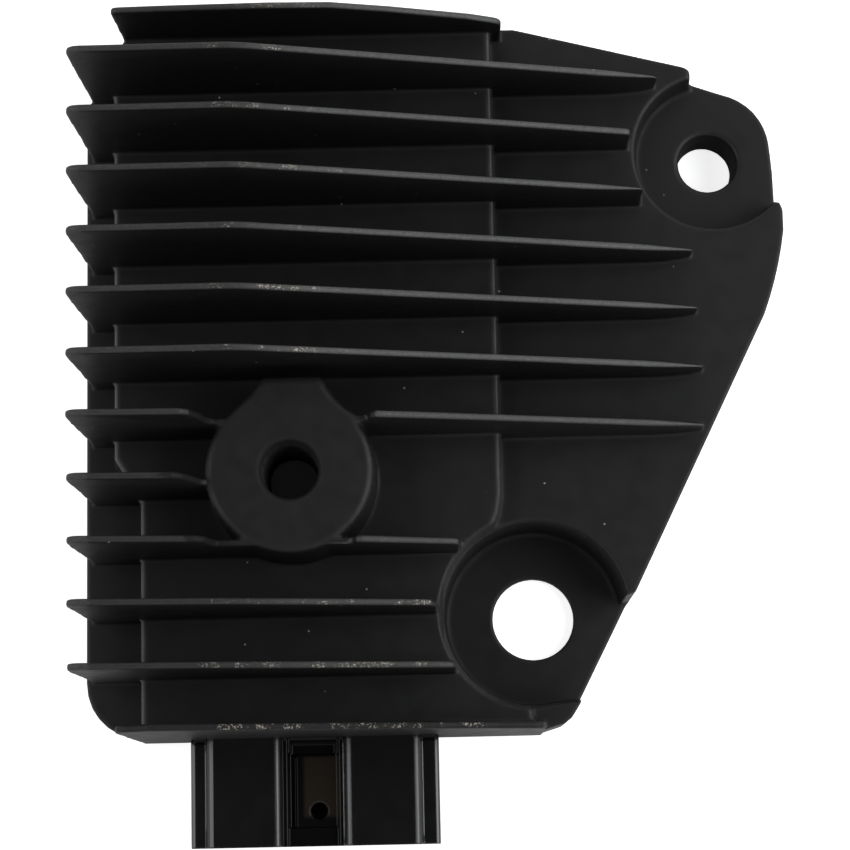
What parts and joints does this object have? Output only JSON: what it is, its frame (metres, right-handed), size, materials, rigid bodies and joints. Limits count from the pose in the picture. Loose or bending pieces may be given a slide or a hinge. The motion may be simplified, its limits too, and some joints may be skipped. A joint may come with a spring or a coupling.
{
  "type": "voltage regulator rectifier",
  "caption": "Finned cast aluminium regulator rectifier for a small vehicle's charging system, with bolt ears, a screw boss and a moulded plug socket.",
  "frame": {"origin": "middle of the whole part's box at the level of the flat back seat", "axes": "+X along the fins towards the bolt ears, +Y away from the connector, +Z from the back seat to the fin tips"},
  "size_m": [0.0866, 0.101, 0.0312],
  "materials": {
    "heatsink_body": "satin black paint on die-cast aluminium, with bare flecks on the fin tips",
    "connector_housing": "smooth black moulded nylon",
    "potting_resin": "cast black resin",
    "substrate_plate": "plain rolled",
    "terminal_metal": "tin plated",
    "chip_case": "moulded epoxy",
    "copper_bar": "plain copper",
    "control_board": "green solder mask on glass epoxy",
    "film_capacitor": "amber dipped",
    "resistor_lacquer": "blue lacquer"
  },
  "bodies": {
    "root": {"heatsink_body": "heatsink_body", "connector_housing": "connector_housing", "potting_resin": "potting_resin", "substrate_plate": "substrate_plate", "terminal_phase_a": "terminal_metal", "terminal_phase_b": "terminal_metal", "terminal_phase_c": "terminal_metal", "terminal_positive": "terminal_metal", "terminal_negative": "terminal_metal", "thyristor_a": "chip_case", "thyristor_b": "chip_case", "thyristor_c": "chip_case", "diode_a": "chip_case", "diode_b": "chip_case", "diode_c": "chip_case", "positive_bus_bar": "copper_bar", "negative_bus_bar": "copper_bar", "control_board": "control_board", "control_chip": "chip_case", "film_capacitor": "film_capacitor", "resistor_a": "resistor_lacquer", "resistor_b": "resistor_lacquer"}
  },
  "joints": []
}
